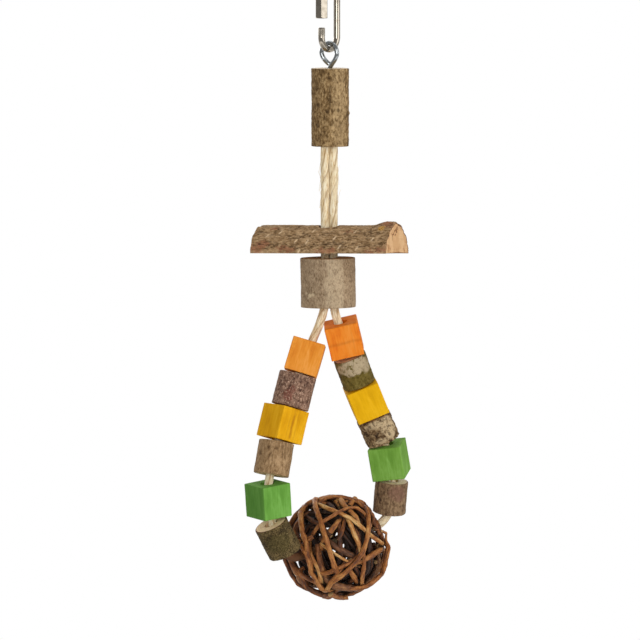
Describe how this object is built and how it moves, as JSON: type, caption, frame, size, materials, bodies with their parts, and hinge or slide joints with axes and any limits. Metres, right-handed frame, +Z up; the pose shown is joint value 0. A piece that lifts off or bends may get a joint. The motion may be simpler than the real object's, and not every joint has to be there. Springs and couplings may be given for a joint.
{
  "type": "hanging bird swing",
  "caption": "Hanging triangle swing for birds: bark perch and barrel on a rope loop, dyed wooden cubes and bark logs down both sides, wicker ball at the bottom, quick link on top.",
  "frame": {"origin": "inside top of the quick link, where the cage bar lies", "axes": "+Z up along the hanging line, +X to the right and +Y away from the viewer, facing the triangle"},
  "size_m": [0.0992, 0.0836, 0.3696],
  "materials": {
    "nickel_steel": "nickel plate",
    "zinc_steel": "zinc plate",
    "bark": "natural bark",
    "rope": "twisted plant fibre",
    "orange_wood": "dyed, sawn",
    "yellow_wood": "dyed, sawn",
    "green_wood": "dyed, sawn",
    "willow": "unpeeled twig"
  },
  "bodies": {
    "quick_link": {"link_body": "nickel_steel"},
    "sleeve": {"link_sleeve": "nickel_steel"},
    "hanger": {"screw_eye": "zinc_steel", "top_branch": "bark", "rope_end_left": "rope", "rope_end_right": "rope"},
    "swing": {"rope_loop": "rope"},
    "perch": {"perch": "bark"},
    "barrel": {"barrel": "bark"},
    "left_orange_cube": {"left_orange_cube": "orange_wood"},
    "left_upper_log": {"left_upper_log": "bark"},
    "left_yellow_cube": {"left_yellow_cube": "yellow_wood"},
    "left_middle_log": {"left_middle_log": "bark"},
    "left_green_cube": {"left_green_cube": "green_wood"},
    "left_lower_log": {"left_lower_log": "bark"},
    "right_orange_cube": {"right_orange_cube": "orange_wood"},
    "right_upper_log": {"right_upper_log": "bark"},
    "right_yellow_cube": {"right_yellow_cube": "yellow_wood"},
    "right_middle_log": {"right_middle_log": "bark"},
    "right_green_cube": {"right_green_cube": "green_wood"},
    "right_lower_log": {"right_lower_log": "bark"},
    "ball": {"ball_outer_twig_1": "willow", "ball_outer_twig_2": "willow", "ball_outer_twig_3": "willow", "ball_inner_twig_1": "willow", "ball_inner_twig_2": "willow", "ball_inner_twig_3": "willow"}
  },
  "joints": [
    {"name": "sleeve_screw", "type": "slide", "parent": "quick_link", "child": "sleeve", "axis": [0, 0, -1], "range_m": [0, 0.0093]},
    {"name": "eye_swing", "type": "hinge", "parent": "quick_link", "child": "hanger", "pos_m": [0, 0, -0.038], "axis": [0.6074, 0.7944, 0], "range_deg": [-60, 60]},
    {"name": "rope_swing", "type": "hinge", "parent": "hanger", "child": "swing", "pos_m": [0, 0, -0.0989], "axis": [1, 0, 0], "range_deg": [-35, 35]},
    {"name": "perch_turn", "type": "hinge", "parent": "swing", "child": "perch", "pos_m": [0, 0, -0.15954], "axis": [0, 0.0523, 0.9986], "continuous": true},
    {"name": "barrel_turn", "type": "hinge", "parent": "swing", "child": "barrel", "pos_m": [-0.0004, 0, -0.17684], "axis": [-0.014, 0, 0.9999], "continuous": true},
    {"name": "left_orange_cube_turn", "type": "hinge", "parent": "swing", "child": "left_orange_cube", "pos_m": [-0.01444, -0.00318, -0.22139], "axis": [0.2856, 0.1279, 0.9498], "range_deg": [-6, 6]},
    {"name": "left_upper_log_turn", "type": "hinge", "parent": "swing", "child": "left_upper_log", "pos_m": [-0.02118, -0.00608, -0.24107], "axis": [0.249, 0.1418, 0.9581], "continuous": true},
    {"name": "left_yellow_cube_turn", "type": "hinge", "parent": "swing", "child": "left_yellow_cube", "pos_m": [-0.02758, -0.00909, -0.26063], "axis": [0.2315, 0.1439, 0.9621], "continuous": true},
    {"name": "left_middle_log_turn", "type": "hinge", "parent": "swing", "child": "left_middle_log", "pos_m": [-0.03302, -0.01214, -0.28094], "axis": [0.1664, 0.1527, 0.9742], "continuous": true},
    {"name": "left_green_cube_turn", "type": "hinge", "parent": "swing", "child": "left_green_cube", "pos_m": [-0.03629, -0.01313, -0.30559], "axis": [-0.0613, -0.1456, 0.9874], "continuous": true},
    {"name": "left_lower_log_turn", "type": "hinge", "parent": "swing", "child": "left_lower_log", "pos_m": [-0.03043, -0.0074, -0.32878], "axis": [-0.4265, -0.2832, 0.859], "continuous": true},
    {"name": "right_orange_cube_turn", "type": "hinge", "parent": "swing", "child": "right_orange_cube", "pos_m": [0.00879, 0.00279, -0.21011], "axis": [-0.2258, -0.2138, 0.9504], "range_deg": [-6, 6]},
    {"name": "right_upper_log_turn", "type": "hinge", "parent": "swing", "child": "right_upper_log", "pos_m": [0.01482, 0.00752, -0.2296], "axis": [-0.3363, -0.232, 0.9127], "continuous": true},
    {"name": "right_yellow_cube_turn", "type": "hinge", "parent": "swing", "child": "right_yellow_cube", "pos_m": [0.02194, 0.01225, -0.24773], "axis": [-0.3619, -0.2419, 0.9003], "continuous": true},
    {"name": "right_middle_log_turn", "type": "hinge", "parent": "swing", "child": "right_middle_log", "pos_m": [0.02905, 0.01727, -0.26484], "axis": [-0.3672, -0.267, 0.891], "continuous": true},
    {"name": "right_green_cube_turn", "type": "hinge", "parent": "swing", "child": "right_green_cube", "pos_m": [0.03579, 0.02248, -0.28438], "axis": [-0.1621, -0.2112, 0.9639], "continuous": true},
    {"name": "right_lower_log_turn", "type": "hinge", "parent": "swing", "child": "right_lower_log", "pos_m": [0.03669, 0.02673, -0.3067], "axis": [0.0779, -0.1622, 0.9837], "continuous": true},
    {"name": "ball_turn", "type": "hinge", "parent": "swing", "child": "ball", "pos_m": [0.0036, 0.0213, -0.33634], "axis": [0.8409, 0.451, 0.2992], "continuous": true}
  ]
}
